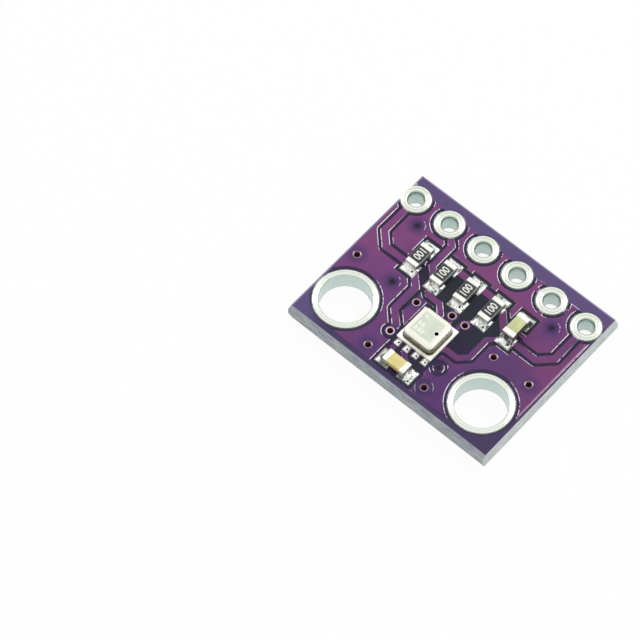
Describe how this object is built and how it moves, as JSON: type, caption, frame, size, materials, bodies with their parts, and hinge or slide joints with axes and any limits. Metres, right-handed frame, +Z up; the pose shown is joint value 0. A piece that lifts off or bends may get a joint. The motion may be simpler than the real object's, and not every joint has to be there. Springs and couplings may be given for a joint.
{
  "type": "temperature humidity sensor module",
  "caption": "Small purple breakout board carrying a metal-lidded temperature and humidity sensor, with plated header holes, mounting holes, chip resistors and capacitors.",
  "frame": {"origin": "middle of the underside, on the plane of the plated rings", "axes": "+X along the header row, +Y towards the header row, +Z up, out of the component side"},
  "size_m": [0.0146, 0.0118, 0.0023],
  "materials": {
    "laminate": "matt cut edge of glass-fibre laminate",
    "tinned_copper": "satin tin over copper",
    "solder_mask": "glossy purple mask",
    "solder": "bright, slightly grainy",
    "terminal_tin": "satin",
    "white_ceramic": "matt",
    "tan_ceramic": "matt",
    "overcoat": "semi-gloss glaze",
    "sensor_laminate": "matt",
    "lid_metal": "matt",
    "silicon": "polished"
  },
  "bodies": {
    "root": {"substrate": "laminate", "top_copper": "tinned_copper", "bottom_copper": "tinned_copper", "top_mask": "solder_mask", "bottom_mask": "solder_mask", "vias": "tinned_copper", "mounting_ring_left": "tinned_copper", "mounting_ring_right": "tinned_copper", "header_ring_1": "tinned_copper", "header_ring_2": "tinned_copper", "header_ring_3": "tinned_copper", "header_ring_4": "tinned_copper", "header_ring_5": "tinned_copper", "header_ring_6": "tinned_copper", "resistor_1_ceramic": "white_ceramic", "resistor_1_terminals": "terminal_tin", "resistor_1_overcoat": "overcoat", "resistor_1_solder": "solder", "resistor_2_ceramic": "white_ceramic", "resistor_2_terminals": "terminal_tin", "resistor_2_overcoat": "overcoat", "resistor_2_solder": "solder", "resistor_3_ceramic": "white_ceramic", "resistor_3_terminals": "terminal_tin", "resistor_3_overcoat": "overcoat", "resistor_3_solder": "solder", "resistor_4_ceramic": "white_ceramic", "resistor_4_terminals": "terminal_tin", "resistor_4_overcoat": "overcoat", "resistor_4_solder": "solder", "row_capacitor_ceramic": "tan_ceramic", "row_capacitor_terminals": "terminal_tin", "row_capacitor_solder": "solder", "front_capacitor_ceramic": "tan_ceramic", "front_capacitor_terminals": "terminal_tin", "front_capacitor_solder": "solder", "sensor_base": "sensor_laminate", "readout_die": "silicon", "sensing_die": "silicon", "sensor_lid": "lid_metal", "sensor_solder": "solder"}
  },
  "joints": []
}
